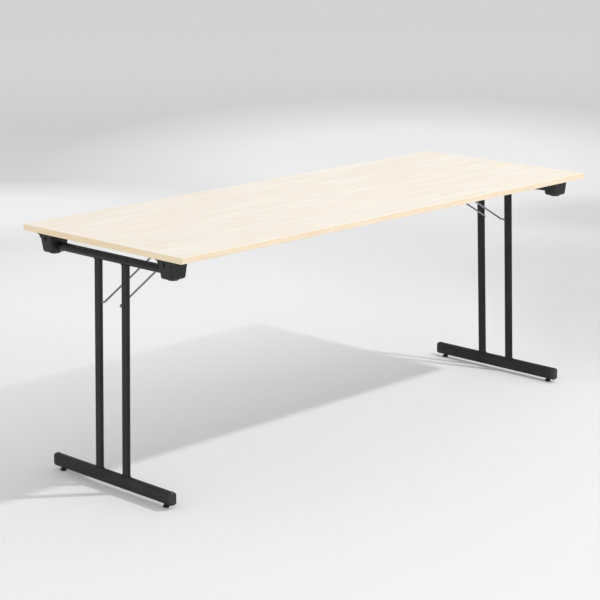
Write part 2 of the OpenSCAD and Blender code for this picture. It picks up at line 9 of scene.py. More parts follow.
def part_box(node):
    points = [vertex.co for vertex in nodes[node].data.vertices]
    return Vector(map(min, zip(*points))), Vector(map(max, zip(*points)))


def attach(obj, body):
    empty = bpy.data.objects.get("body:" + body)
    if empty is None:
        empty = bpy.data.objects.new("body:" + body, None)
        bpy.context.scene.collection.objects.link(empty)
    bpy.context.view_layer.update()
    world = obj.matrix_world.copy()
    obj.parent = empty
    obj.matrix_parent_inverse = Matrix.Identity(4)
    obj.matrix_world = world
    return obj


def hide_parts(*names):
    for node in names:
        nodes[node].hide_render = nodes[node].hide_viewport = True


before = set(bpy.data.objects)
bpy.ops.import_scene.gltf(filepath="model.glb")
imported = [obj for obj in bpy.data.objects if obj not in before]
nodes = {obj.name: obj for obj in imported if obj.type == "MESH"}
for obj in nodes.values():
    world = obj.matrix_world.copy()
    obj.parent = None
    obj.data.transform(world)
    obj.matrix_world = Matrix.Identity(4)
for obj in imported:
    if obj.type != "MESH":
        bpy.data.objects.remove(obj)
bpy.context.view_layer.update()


def new_finish(name, roughness, metallic=0.0, specular=0.5):
    """A material, its node tree and its shader, with the values that are the same all over."""
    finish = bpy.data.materials.new(name)
    finish.use_nodes = True
    tree = finish.node_tree
    shader = tree.nodes["Principled BSDF"]
    shader.inputs["Roughness"].default_value = roughness
    shader.inputs["Metallic"].default_value = metallic
    shader.inputs["Specular IOR Level"].default_value = specular
    return finish, tree, shader


def feed(tree, socket, value):
    """Join a socket to another one, or set it to a value."""
    if isinstance(value, bpy.types.NodeSocket):
        tree.links.new(value, socket)
    else:
        socket.default_value = value


def add(tree, kind, inputs=None, **settings):
    """A node with its settings made and its inputs fed."""
    node = tree.nodes.new(kind)
    for key, value in settings.items():
        setattr(node, key, value)
    for key, value in (inputs or {}).items():
        feed(tree, node.inputs[key], value)
    return node


def place(tree, scale=(1, 1, 1), turn=(0, 0, 0), shift=(0, 0, 0)):
    """The piece's own coordinates in metres, stretched, turned and shifted."""
    coords = add(tree, "ShaderNodeTexCoord").outputs["Object"]
    mapping = add(tree, "ShaderNodeMapping", {"Vector": coords, "Scale": scale, "Rotation": turn,
                                              "Location": shift})
    return mapping.outputs["Vector"]


def noise(tree, vector, scale, detail=2.0, rough=0.5, distortion=0.0):
    """Cloudy noise from 0 to 1, with so many waves to a metre of the given coordinates."""
    return add(tree, "ShaderNodeTexNoise", {
        "Vector": vector, "Scale": scale, "Detail": detail, "Roughness": rough,
        "Distortion": distortion}).outputs["Fac"]


def spread(tree, value, low, high, to_low=0.0, to_high=1.0):
    """A value mapped from one range to another and kept inside it."""
    return add(tree, "ShaderNodeMapRange", {
        "Value": value, "From Min": low, "From Max": high, "To Min": to_low,
        "To Max": to_high}).outputs["Result"]


def evened(tree, cloudy, to_low=0.0, to_high=1.0):
    """Cloudy noise, which lies mostly between 0.3 and 0.7, mapped to another range."""
    return spread(tree, cloudy, 0.3, 0.7, to_low, to_high)


def blend_colours(tree, factor, first, second):
    """The first colour at factor 0, and the second at 1. Colour sockets go by their numbers."""
    factor_in, first_in, second_in, colour_out = 0, 6, 7, 2
    node = add(tree, "ShaderNodeMix", {factor_in: factor, first_in: first, second_in: second},
               data_type="RGBA")
    return node.outputs[colour_out]


def sums(tree, kind, first, second=0.0):
    """One step of arithmetic on one or two values."""
    node = add(tree, "ShaderNodeMath", {0: first, 1: second}, operation=kind)
    return node.outputs[0]


def raise_by(tree, shader, height, distance, strength=1.0):
    """Relief on the shader from a height pattern, with its depth in metres."""
    bump = add(tree, "ShaderNodeBump", {"Height": height, "Distance": distance,
                                        "Strength": strength})
    feed(tree, shader.inputs["Normal"], bump.outputs["Normal"])


def colour(red, green, blue):
    """A colour written as it looks, from 0 to 255, as the shader takes it."""
    linear = [(v / 255 / 12.92) if v < 10.4 else ((v / 255 + 0.055) / 1.055) ** 2.4
              for v in (red, green, blue)]
    return (*linear, 1.0)


def dress(names, finish):
    """The finish on solids that keep their own shape."""
    for name in names:
        piece = nodes[name]
        for slot in piece.material_slots:
            slot.material = finish
        if not piece.material_slots:
            piece.data.materials.append(finish)


def birch_finish(name, pale, tan, warm, dash, roughness, grain_along_y=False, painted_arris_highlight=0.0):
    """Birch figure: flames, streaks, darker dashes, fine pores and a painted arris highlight."""
    finish, tree, shader = new_finish(name, roughness, specular=0.32)

    def figure(along, aside, detail=2.0, rough=0.5, distortion=0.0, shift=(0, 0, 0)):
        """Noise with its waves to the metre given along the grain and across it."""
        scale = (aside, along, aside) if grain_along_y else (along, aside, aside)
        return noise(tree, place(tree, scale, shift=shift), 1.0, detail, rough, distortion)

    flames = figure(along=3.0, aside=24.0, detail=4.0, rough=0.6, distortion=0.9)
    streaks = figure(along=8.0, aside=130.0, detail=5.0, rough=0.62, distortion=0.25)
    pores = figure(along=60.0, aside=900.0)
    cloud = figure(along=3.0, aside=6.0, shift=(4.0, 2.0, 0.0))
    dashes = figure(along=16.0, aside=150.0, shift=(1.0, 7.0, 3.0))
    flame_share, streak_share = 0.55, 0.45
    body = sums(tree, "ADD", sums(tree, "MULTIPLY", flames, flame_share),
                sums(tree, "MULTIPLY", streaks, streak_share))
    ground = blend_colours(tree, spread(tree, body, 0.38, 0.60), tan, pale)
    ground = blend_colours(tree, spread(tree, cloud, 0.45, 0.75, to_high=0.6), ground, warm)
    ground = blend_colours(tree, spread(tree, dashes, 0.62, 0.76, to_high=0.55), ground, dash)
    tint = blend_colours(tree, spread(tree, pores, 0.60, 0.74, to_high=0.16), ground, dash)
    # Painted highlight: a thin paler band just under the top arris stands in for the light its
    # rounded corner catches.
    if painted_arris_highlight:
        painted_highlight_foot, painted_highlight_top = 0.7388, 0.7394
        height = add(tree, "ShaderNodeSeparateXYZ", {"Vector": place(tree)}).outputs["Z"]
        tint = blend_colours(tree, spread(tree, height, painted_highlight_foot, painted_highlight_top, to_high=painted_arris_highlight),
                             tint, colour(255, 250, 240))
    feed(tree, shader.inputs["Base Color"], tint)
    smoother, rougher = 0.04, 0.05
    feed(tree, shader.inputs["Roughness"],
         evened(tree, streaks, roughness - smoother, roughness + rougher))
    grain_depth, grain_strength = 0.00006, 0.35
    raise_by(tree, shader, sums(tree, "ADD", pores, streaks), grain_depth, grain_strength)
    return finish


birch_top = birch_finish("birch_top", pale=colour(248, 242, 232), tan=colour(243, 231, 214),
                         warm=colour(247, 235, 219), dash=colour(229, 205, 182), roughness=0.62)
dress(["top_laminate"], birch_top)

# ---- Board core ----
# The core is pressed wood chip, 18 mm thick with its laminates. It is coarse, with pale and brown
# chips, and is covered all round by the laminates and the edge strips.
chip_board, chip_tree, chip_shader = new_finish("pressed_chip", roughness=0.85)
chips_to_metre, chip_flatness, chip_relief = 420.0, 2.4, 0.0004
chips = add(chip_tree, "ShaderNodeTexVoronoi", {
    "Vector": place(chip_tree, scale=(1, 1, chip_flatness)), "Scale": chips_to_metre})
chip_tint = add(chip_tree, "ShaderNodeSeparateColor",
                {"Color": chips.outputs["Color"]}).outputs["Red"]
feed(chip_tree, chip_shader.inputs["Base Color"],
     blend_colours(chip_tree, chip_tint, colour(176, 138, 92), colour(222, 190, 142)))
raise_by(chip_tree, chip_shader, chips.outputs["Distance"], chip_relief)
dress(["board_core"], chip_board)

# ---- Backing laminate ----
# The underside has a plain balancing sheet in a pale tone, which keeps the board flat. It is
# pressed on as the top sheet is, and has a fine matt tooth.
backing, backing_tree, backing_shader = new_finish("backing_sheet", roughness=0.55)
backing_cloud = noise(backing_tree, place(backing_tree, scale=(6, 9, 1)), scale=1.0, detail=4.0)
feed(backing_tree, backing_shader.inputs["Base Color"],
     blend_colours(backing_tree, evened(backing_tree, backing_cloud),
                   colour(222, 217, 206), colour(229, 224, 214)))
tooth = noise(backing_tree, place(backing_tree), scale=900.0)
raise_by(backing_tree, backing_shader, tooth, distance=0.00005, strength=0.4)
dress(["backing_laminate"], backing)

# ---- Edge strips ----
# Four plastic edge strips, printed as birch, are glued round the board with butt joints at the
# corners. Their corners are milled round, and a painted highlight runs as a paler line along the
# upper one.
birch_edge_long = birch_finish("birch_edge_long", pale=colour(251, 235, 211),
                               tan=colour(245, 223, 192), warm=colour(248, 230, 202),
                               dash=colour(229, 202, 166), roughness=0.42, painted_arris_highlight=0.85)
birch_edge_short = birch_finish("birch_edge_short", pale=colour(255, 241, 212),
                                tan=colour(253, 229, 189), warm=colour(255, 236, 202),
                                dash=colour(237, 206, 162), roughness=0.42,
                                grain_along_y=True, painted_arris_highlight=0.5)
dress(["edge_strip_front", "edge_strip_back"], birch_edge_long)
dress(["edge_strip_left", "edge_strip_right"], birch_edge_short)


# ---- Legs ----
# Each leg is welded from steel tube and powder coated black: a round cross tube, two flat-oval
# columns and the foot. The coat is semi-matt with a faint orange peel.
def coated(name, tone, peel, depth, roughness, specular, speck, dust):
    """Black coat or moulded plastic: a fine relief, slight unevenness of tone and rubbed dust."""
    finish, tree, shader = new_finish(name, roughness, specular=specular)
    grain = noise(tree, place(tree), peel, detail=3.0, rough=0.55)
    patches_to_metre, darker, lighter = 9.0, 0.82, 1.25
    patches = noise(tree, place(tree, shift=(3, 1, 2)), patches_to_metre, detail=3.0)
    dark = [v * darker for v in tone[:3]] + [1.0]
    light = [v * lighter for v in tone[:3]] + [1.0]
    base = blend_colours(tree, evened(tree, patches), dark, light)
    base = blend_colours(tree, spread(tree, grain, 0.58, 0.75, to_high=speck), base,
                         colour(92, 92, 95))
    base = blend_colours(tree, spread(tree, patches, 0.5, 0.8, to_high=dust), base,
                         colour(120, 118, 114))
    feed(tree, shader.inputs["Base Color"], base)
    smoother, rougher = 0.07, 0.09
    feed(tree, shader.inputs["Roughness"],
         evened(tree, grain, roughness - smoother, roughness + rougher))
    raise_by(tree, shader, grain, depth)
    return finish


powder_coat = coated("black_powder_coat", colour(30, 30, 32), peel=900.0, depth=0.00009,
                     roughness=0.36, specular=0.3, speck=0.10, dust=0.02)
dress([n for n in nodes if n.startswith(("cross_tube", "column_"))], powder_coat)


# ---- Feet and their caps ----
# Each foot is a flat-oval tube, 530 mm long and 42 mm high with its caps, under the same coat. The
# moulded caps are pushed into its ends and stand a little proud, which leaves a fine seam.
def reshaped(name, node_name, move, sharp, finish):
    """A copy of a solid with its doubles merged and every corner put through a rule."""
    shape = nodes[node_name].data.copy()
    if "custom_normal" in shape.attributes:
        shape.attributes.remove(shape.attributes["custom_normal"])
    grid = bmesh.new()
    grid.from_mesh(shape)
    same_point = 1e-6
    bmesh.ops.remove_doubles(grid, verts=grid.verts, dist=same_point)
    for corner_point in grid.verts:
        corner_point.co = move(corner_point.co)
    grid.to_mesh(shape)
    grid.free()
    shape.polygons.foreach_set("use_smooth", [True] * len(shape.polygons))
    shape.set_sharp_from_angle(angle=math.radians(sharp))
    shape.materials.clear()
    shape.materials.append(finish)
    piece = bpy.data.objects.new(name, shape)
    bpy.context.collection.objects.link(piece)
    return piece


foot_shorter, foot_deeper, cap_proud = 0.010, 0.002, 0.0004
end_zone, rim_slack = 0.02, 0.00001
cap_black = coated("cap_black", colour(42, 42, 44), peel=1500.0, depth=0.00012,
                   roughness=0.42, specular=0.35, speck=0.10, dust=0.03)
for end in ("left", "right"):
    foot_low, foot_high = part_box("foot_tube_" + end)
    foot_centre = Vector(((foot_low[0] + foot_high[0]) / 2, 0, (foot_low[2] + foot_high[2]) / 2))
    tube_stop = foot_high[1]

    def fit_end(point, inward):
        """Drawn in towards the foot's middle, and lower where it is below the middle."""
        lower = foot_deeper if point.z < foot_centre.z else 0.0
        return Vector((point.x, point.y - math.copysign(inward, point.y), point.z - lower))

    def fit_foot(point):
        """Shorter at both ends and deeper below its middle."""
        return fit_end(point, foot_shorter if abs(point.y) > tube_stop - end_zone else 0.0)

    def fit_cap(point):
        """As the foot's end, with the outer part a little larger all round."""
        fitted = fit_end(point, foot_shorter)
        outward = Vector((point.x - foot_centre.x, 0, point.z - foot_centre.z))
        if abs(point.y) > tube_stop - rim_slack and outward.length > 0:
            fitted += outward.normalized() * cap_proud
        return fitted

    foot = reshaped("foot_" + end, "foot_tube_" + end, fit_foot, sharp=30, finish=powder_coat)
    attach(foot, "leg_" + end)
    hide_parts("foot_tube_" + end)
    for side in ("front", "back"):
        cap = reshaped("end_cap_" + side + "_" + end, "foot_cap_" + side + "_" + end, fit_cap,
                       sharp=30, finish=cap_black)
        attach(cap, "leg_" + end)
        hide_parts("foot_cap_" + side + "_" + end)


# ---- Weld beads ----
# A bead of weld runs all round each column where it meets the cross tube above and the foot below.
# It has the ripples that a welding torch leaves, under the same black coat.
def new_tree(name, sizes):
    """A geometry tree with a named input for each size, and one for its material."""
    tree = bpy.data.node_groups.new(name, "GeometryNodeTree")
    sockets = tree.interface
    sockets.new_socket("Geometry", in_out="INPUT", socket_type="NodeSocketGeometry")
    for label, value in sizes.items():
        kind = "NodeSocketInt" if isinstance(value, int) else "NodeSocketFloat"
        sockets.new_socket(label, in_out="INPUT", socket_type=kind).default_value = value
    sockets.new_socket("Material", in_out="INPUT", socket_type="NodeSocketMaterial")
    sockets.new_socket("Geometry", in_out="OUTPUT", socket_type="NodeSocketGeometry")
    return tree, tree.nodes.new("NodeGroupInput").outputs


def end_tree(tree, given, shape):
    """Make a tree's instances real, give them their material and put them out."""
    real = add(tree, "GeometryNodeRealizeInstances", {"Geometry": shape}).outputs["Geometry"]
    made = add(tree, "GeometryNodeSetMaterial", {"Geometry": real, "Material": given["Material"]})
    feed(tree, tree.nodes.new("NodeGroupOutput").inputs["Geometry"], made.outputs["Geometry"])


def grow(name, seeds, tree, finish, sharp, sizes=None):
    """Run a seed mesh through a tree, and leave the result as a plain mesh at the origin."""
    piece = bpy.data.objects.new(name, seeds)
    bpy.context.collection.objects.link(piece)
    maker = piece.modifiers.new("make", "NODES")
    maker.node_group = tree
    for socket in tree.interface.items_tree:
        if socket.in_out == "INPUT" and socket.name == "Material":
            maker[socket.identifier] = finish
        elif socket.in_out == "INPUT" and socket.name in (sizes or {}):
            maker[socket.identifier] = sizes[socket.name]
    graph = bpy.context.evaluated_depsgraph_get()
    made = bpy.data.meshes.new_from_object(piece.evaluated_get(graph), depsgraph=graph)
    piece.modifiers.remove(maker)
    piece.data = made
    made.polygons.foreach_set("use_smooth", [True] * len(made.polygons))
    made.set_sharp_from_angle(angle=math.radians(sharp))
    return piece


bead_tree, bead = new_tree("weld_bead", {"Bead Radius": 0.0019, "Ripple Length": 0.0024,
                                         "Ripple Depth": 0.13, "Step": 0.0004, "Sides": 10})
bead_path = add(bead_tree, "GeometryNodeResampleCurve", {
    "Curve": add(bead_tree, "GeometryNodeMeshToCurve", {"Mesh": bead["Geometry"]}).outputs["Curve"],
    "Length": bead["Step"]}, mode="LENGTH").outputs["Curve"]
bead_length = add(bead_tree, "GeometryNodeSplineLength").outputs["Length"]
bead_along = add(bead_tree, "GeometryNodeSplineParameter").outputs["Factor"]
bead_ripples = sums(bead_tree, "ROUND",
                    sums(bead_tree, "DIVIDE", bead_length, bead["Ripple Length"]))
bead_wave = sums(bead_tree, "SINE", sums(
    bead_tree, "MULTIPLY", sums(bead_tree, "MULTIPLY", bead_along, bead_ripples), 2 * math.pi))
bead_swell = sums(bead_tree, "ADD", sums(
    bead_tree, "MULTIPLY", bead_wave, bead["Ripple Depth"]), 1.0)
bead_ring = add(bead_tree, "GeometryNodeCurvePrimitiveCircle", {
    "Resolution": bead["Sides"], "Radius": bead["Bead Radius"]}).outputs["Curve"]
end_tree(bead_tree, bead, add(bead_tree, "GeometryNodeCurveToMesh", {
    "Curve": bead_path, "Profile Curve": bead_ring, "Scale": bead_swell}).outputs["Mesh"])

column_half, column_flat = 0.006, 0.009  # half its thickness, and half its flat side
round_steps, flat_steps = 24, 12
bead_outside, bead_beyond = 0.0004, 0.0003
column_outline = []
for step in range(round_steps):
    bend = math.pi * step / round_steps
    column_outline.append((column_half * math.cos(bend), column_flat + column_half * math.sin(bend),
                           math.cos(bend), math.sin(bend)))
for step in range(1, flat_steps):
    column_outline.append((-column_half, column_flat * (1 - 2 * step / flat_steps), -1.0, 0.0))
column_outline += [(-u, -v, -out_u, -out_v) for u, v, out_u, out_v in column_outline]
for end in ("left", "right"):
    tube_low, tube_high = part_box("cross_tube_" + end)
    foot_low, foot_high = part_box("foot_tube_" + end)
    pivot = Vector(((tube_low[0] + tube_high[0]) / 2, 0, (tube_low[2] + tube_high[2]) / 2))
    tube_radius, foot_radius = (tube_high[0] - tube_low[0]) / 2, (foot_high[0] - foot_low[0]) / 2
    foot_middle = Vector(((foot_low[0] + foot_high[0]) / 2, 0, (foot_low[2] + foot_high[2]) / 2))
    foot_top = foot_middle + Vector((0, 0, (foot_high[2] - foot_low[2]) / 2 - foot_radius))
    down = (foot_middle - pivot).normalized()
    across = Vector((-down.z, 0, down.x))
    corners, edges = [], []
    for column in ("column_front_" + end, "column_back_" + end):
        column_low, column_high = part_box(column)
        column_y = (column_low[1] + column_high[1]) / 2
        for centre, radius, way in ((pivot, tube_radius, 1), (foot_top, foot_radius, -1)):
            first = len(corners)
            for u, v, out_u, out_v in column_outline:
                offset = across * u - (centre - pivot)
                reach = math.sqrt(offset.dot(down) ** 2 - offset.dot(offset) + radius ** 2)
                along = way * reach - offset.dot(down)
                corners.append(pivot + across * (u + out_u * bead_outside)
                               + down * (along + way * bead_beyond)
                               + Vector((0, column_y + v + out_v * bead_outside, 0)))
            count = len(column_outline)
            edges += [(first + k, first + (k + 1) % count) for k in range(count)]
    seam = bpy.data.meshes.new("seams_" + end)
    seam.from_pydata(corners, edges, [])
    welds = grow("weld_beads_" + end, seam, bead_tree, powder_coat, sharp=60)
    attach(welds, "leg_" + end)

# ---- Corner brackets and parking clips ----
# The brackets that hold the leg pivots and the clips that park the folded stays are moulded in
# black plastic with a fine spark-eroded grain.
moulded = coated("moulded_black", colour(38, 38, 40), peel=1500.0, depth=0.00012,
                 roughness=0.46, specular=0.3, speck=0.10, dust=0.03)
dress([n for n in nodes if n.startswith(("corner_bracket", "parking_clip"))], moulded)

# ---- Zinc-plated steel ----
# The pressed catches for the stays, and the screws, are zinc plated, with a cool satin shine and
# faint clouding.
zinc, zinc_tree, zinc_shader = new_finish("zinc_plate", roughness=0.34, metallic=1.0)
zinc_cloud = noise(zinc_tree, place(zinc_tree), scale=60.0, detail=4.0)
feed(zinc_tree, zinc_shader.inputs["Base Color"],
     blend_colours(zinc_tree, evened(zinc_tree, zinc_cloud),
                   colour(196, 198, 200), colour(222, 223, 224)))
feed(zinc_tree, zinc_shader.inputs["Roughness"],
     evened(zinc_tree, zinc_cloud, to_low=0.26, to_high=0.42))
zinc_tooth = noise(zinc_tree, place(zinc_tree), scale=1400.0)
raise_by(zinc_tree, zinc_shader, zinc_tooth, distance=0.00004)
dress(["stay_catch_left", "stay_catch_right"], zinc)


# ---- Screws ----
# Pan-head wood screws with a cross recess hold the brackets, catches and clips. They are cold
# formed, thread rolled and zinc plated, and each stops at its own turn.
def position_parts(tree):
    """The X, Y and Z of each point that a tree is moving."""
    here = add(tree, "GeometryNodeInputPosition").outputs["Position"]
    return add(tree, "ShaderNodeSeparateXYZ", {"Vector": here}).outputs


def drawn_in(tree, shape, parts, keep):
    """A shape about the Z axis with each point drawn in towards it, to so much of its distance."""
    moved = add(tree, "ShaderNodeCombineXYZ", {"X": sums(tree, "MULTIPLY", parts["X"], keep),
                                               "Y": sums(tree, "MULTIPLY", parts["Y"], keep),
                                               "Z": parts["Z"]}).outputs["Vector"]
    return add(tree, "GeometryNodeSetPosition", {
        "Geometry": shape, "Position": moved}).outputs["Geometry"]


def threaded(tree, radius, length, pitch, depth, sides, rings, point):
    """A rod about the Z axis with a V thread, a pointed lower end and an eased upper end."""
    tip_keep, top_keep, top_zone = 0.3, 0.86, 0.25
    rod = add(tree, "GeometryNodeMeshCylinder", {"Vertices": sides, "Side Segments": rings,
                                                 "Radius": radius, "Depth": length}).outputs["Mesh"]
    parts = position_parts(tree)
    turns = sums(tree, "DIVIDE", sums(tree, "ARCTAN2", parts["Y"], parts["X"]), 2 * math.pi)
    phase = sums(tree, "FRACT", sums(
        tree, "SUBTRACT", sums(tree, "DIVIDE", parts["Z"], pitch), turns))
    groove = sums(tree, "ABSOLUTE", sums(
        tree, "SUBTRACT", sums(tree, "MULTIPLY", phase, 2.0), 1.0))
    cut = sums(tree, "MULTIPLY", groove, sums(tree, "DIVIDE", depth, radius))
    half = sums(tree, "DIVIDE", length, 2.0)
    to_low = sums(tree, "DIVIDE", sums(tree, "ADD", parts["Z"], half), point)
    to_high = sums(tree, "DIVIDE", sums(tree, "SUBTRACT", half, parts["Z"]), radius)
    ends = sums(tree, "MULTIPLY", spread(tree, to_low, 0.0, 1.0, tip_keep, 1.0),
                spread(tree, to_high, 0.0, top_zone, top_keep, 1.0))
    keep = sums(tree, "MULTIPLY", sums(tree, "SUBTRACT", 1.0, cut), ends)
    return drawn_in(tree, rod, parts, keep)


def shifted(tree, shape, height):
    """A shape moved up by a height."""
    lift = add(tree, "ShaderNodeCombineXYZ", {"Z": height}).outputs["Vector"]
    return add(tree, "GeometryNodeTransform", {
        "Geometry": shape, "Translation": lift}).outputs["Geometry"]


head_high = 0.0026
screw_tree, screw = new_tree("pan_screw", {
    "Head Diameter": 0.0084, "Head Height": head_high, "Shank Diameter": 0.004, "Length": 0.0165,
    "Pitch": 0.0018, "Thread Depth": 0.0005, "Recess Width": 0.0011, "Recess Length": 0.0046,
    "Recess Depth": 0.0017, "Point": 0.004, "Seed": 5})
head_plain = add(screw_tree, "GeometryNodeMeshCylinder", {
    "Vertices": 32, "Side Segments": 8, "Depth": screw["Head Height"],
    "Radius": sums(screw_tree, "DIVIDE", screw["Head Diameter"], 2.0)}).outputs["Mesh"]
crown_start, crown_depth = 0.45, 0.69
head_at = position_parts(screw_tree)
head_level = sums(screw_tree, "ADD", sums(
    screw_tree, "DIVIDE", head_at["Z"], screw["Head Height"]), 0.5)
head_over = spread(screw_tree, head_level, crown_start, 1.0, to_high=crown_depth)
head_keep = sums(screw_tree, "SQRT", sums(screw_tree, "SUBTRACT", 1.0, sums(
    screw_tree, "MULTIPLY", head_over, head_over)))
head_crowned = drawn_in(screw_tree, head_plain, head_at, head_keep)
recess_taper = 0.38
recess_arms = add(screw_tree, "GeometryNodeJoinGeometry")
for long_way, short_way in (("X", "Y"), ("Y", "X")):
    arm_size = add(screw_tree, "ShaderNodeCombineXYZ", {
        long_way: screw["Recess Length"], short_way: screw["Recess Width"],
        "Z": sums(screw_tree, "MULTIPLY", screw["Recess Depth"], 2.0)}).outputs["Vector"]
    arm = add(screw_tree, "GeometryNodeMeshCube", {"Size": arm_size}).outputs["Mesh"]
    feed(screw_tree, recess_arms.inputs["Geometry"], arm)
recess_at = position_parts(screw_tree)
recess_keep = spread(screw_tree, sums(
    screw_tree, "DIVIDE", recess_at["Z"], screw["Recess Depth"]),
    -1.0, 1.0, 1 - recess_taper, 1 + recess_taper)
recess = drawn_in(screw_tree, recess_arms.outputs["Geometry"], recess_at, recess_keep)
head_half = sums(screw_tree, "DIVIDE", screw["Head Height"], 2.0)
head_cut = add(screw_tree, "GeometryNodeMeshBoolean", {
    "Mesh 1": head_crowned, "Mesh 2": shifted(screw_tree, recess, head_half),
    "Self Intersection": True}, operation="DIFFERENCE", solver="EXACT").outputs["Mesh"]
shank = threaded(screw_tree, sums(screw_tree, "DIVIDE", screw["Shank Diameter"], 2.0),
                 screw["Length"], screw["Pitch"], screw["Thread Depth"], sides=16, rings=72,
                 point=screw["Point"])
shank_low = sums(screw_tree, "MULTIPLY", screw["Length"], -0.5)
whole_screw = add(screw_tree, "GeometryNodeJoinGeometry")
for part in (shifted(screw_tree, head_cut, head_half), shifted(screw_tree, shank, shank_low)):
    feed(screw_tree, whole_screw.inputs["Geometry"], part)
most_in, single_out = 3, 1  # this node's sockets for a single number go by their places
random_turn = add(screw_tree, "FunctionNodeRandomValue", {
    "Seed": screw["Seed"], most_in: 2 * math.pi}, data_type="FLOAT").outputs[single_out]
head_down = add(screw_tree, "ShaderNodeCombineXYZ", {"X": math.pi, "Z": random_turn})
end_tree(screw_tree, screw, add(screw_tree, "GeometryNodeInstanceOnPoints", {
    "Points": screw["Geometry"], "Instance": whole_screw.outputs["Geometry"],
    "Rotation": head_down.outputs["Vector"]}).outputs["Instances"])

within_screw = 0.012  # corners nearer than this belong to one screw
for node_name in ("bracket_screws", "catch_screws", "clip_screws"):
    stands_for = nodes[node_name].data
    found = np.empty(len(stands_for.vertices) * 3)
    stands_for.vertices.foreach_get("co", found)
    groups = []
    for point in found.reshape(-1, 3):
        group = next((g for g in groups if abs(g[0][0] - point[0]) + abs(g[0][1] - point[1])
                      < within_screw), None)
        if group is None:
            groups.append([point])
        else:
            group.append(point)
    seats = []
    for group in groups:
        low, high = np.min(group, axis=0), np.max(group, axis=0)
        seats.append(((low[0] + high[0]) / 2, (low[1] + high[1]) / 2, low[2] + head_high))
        shank_length = float(high[2] - low[2]) - head_high
    seat_mesh = bpy.data.meshes.new(node_name + "_seats")
    seat_mesh.from_pydata(seats, [], [])
    screws = grow("cross_head_" + node_name, seat_mesh, screw_tree, zinc, sharp=32,
                  sizes={"Length": shank_length})
    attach(screws, "table_top")
    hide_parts(node_name)

# ---- Glides ----
# Each glide is a hard black plastic pad on a blackened M8 stud with a rolled thread. The stud runs
# in a blackened insert in the foot, and sets the glide's height.
blackened, black_tree, black_shader = new_finish("blackened_steel", roughness=0.42,
                                                 metallic=0.6)
black_cloud = noise(black_tree, place(black_tree), scale=260.0, detail=3.0)
feed(black_tree, black_shader.inputs["Base Color"],
     blend_colours(black_tree, evened(black_tree, black_cloud),
                   colour(34, 34, 36), colour(52, 52, 55)))
raise_by(black_tree, black_shader, black_cloud, distance=0.00003)
dress([n for n in nodes if n.startswith("glide_insert")], blackened)
pad_black = coated("pad_black", colour(26, 26, 28), peel=1100.0, depth=0.00010,
                   roughness=0.5, specular=0.3, speck=0.12, dust=0.06)

stud_tree, stud = new_tree("threaded_stud", {"Diameter": 0.008, "Length": 0.032,
                                             "Pitch": 0.00125, "Thread Depth": 0.00065,
                                             "Point": 0.0005})
stud_rod = threaded(stud_tree, sums(stud_tree, "DIVIDE", stud["Diameter"], 2.0), stud["Length"],
                    stud["Pitch"], stud["Thread Depth"], sides=32, rings=210, point=stud["Point"])
stud_standing = shifted(stud_tree, stud_rod, sums(stud_tree, "DIVIDE", stud["Length"], 2.0))
end_tree(stud_tree, stud, add(stud_tree, "GeometryNodeInstanceOnPoints", {
    "Points": stud["Geometry"], "Instance": stud_standing}).outputs["Instances"])
pad_hub, pad_keep = 0.007, 0.886
for corner in ("front_left", "back_left", "front_right", "back_right"):
    stud_low, stud_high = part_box("glide_stud_" + corner)
    axis_x, axis_y = (stud_low[0] + stud_high[0]) / 2, (stud_low[1] + stud_high[1]) / 2
    stud_foot = bpy.data.meshes.new("stud_foot_" + corner)
    stud_foot.from_pydata([(axis_x, axis_y, stud_low[2])], [], [])
    studs = grow("thread_" + corner, stud_foot, stud_tree, blackened, sharp=60,
                 sizes={"Length": stud_high[2] - stud_low[2]})
    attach(studs, "glide_" + corner)
    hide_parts("glide_stud_" + corner)

    def fit_pad(point):
        """Drawn in towards the stud's axis, outside the hub."""
        away = Vector((point.x - axis_x, point.y - axis_y, 0))
        return point - away * (1 - pad_keep) if away.length > pad_hub else point.copy()

    pad = reshaped("pad_" + corner, "glide_pad_" + corner, fit_pad, sharp=50, finish=pad_black)
    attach(pad, "glide_" + corner)
    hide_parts("glide_pad_" + corner)

# ---- Wire stays ----
# Each stay is one length of round steel wire, bent to a U with a hook at each end and plated
# bright. It springs into its catch and holds the leg open.
bright, bright_tree, bright_shader = new_finish("bright_wire", roughness=0.3, metallic=1.0)
bright_draw = noise(bright_tree, place(bright_tree, scale=(0.3, 1.0, 0.5)), scale=60.0,
                    detail=3.0)
feed(bright_tree, bright_shader.inputs["Base Color"],
     blend_colours(bright_tree, evened(bright_tree, bright_draw),
                   colour(142, 143, 147), colour(160, 161, 165)))
feed(bright_tree, bright_shader.inputs["Roughness"],
     evened(bright_tree, bright_draw, to_low=0.24, to_high=0.36))
wire_tooth = noise(bright_tree, place(bright_tree), scale=700.0)
raise_by(bright_tree, bright_shader, wire_tooth, distance=0.00001, strength=0.4)
dress(["wire_stay_left", "wire_stay_right"], bright)

# ---- Floor and backdrop ----
# A pale matt floor that runs on behind the table. Its colour is nearly white in front and greyer
# with distance, with soft patches of painted light and painted shade; behind the table it glows a
# little for the camera, a painted light that lifts the shadow, and it fades into the far wall.
wall_grey = colour(209, 210, 212)


def what_shows(tree):
    """1 for the camera, and for what gloss and glass show of the floor and the wall."""
    seen_by = add(tree, "ShaderNodeLightPath").outputs
    return sums(tree, "MAXIMUM", seen_by["Is Camera Ray"], sums(
        tree, "MAXIMUM", seen_by["Is Glossy Ray"], seen_by["Is Transmission Ray"]))


def mix_shaders(tree, factor, first, second):
    """The first shader at factor 0, and the second at 1."""
    node = add(tree, "ShaderNodeMixShader", {"Fac": factor, 1: first, 2: second})
    return node.outputs["Shader"]


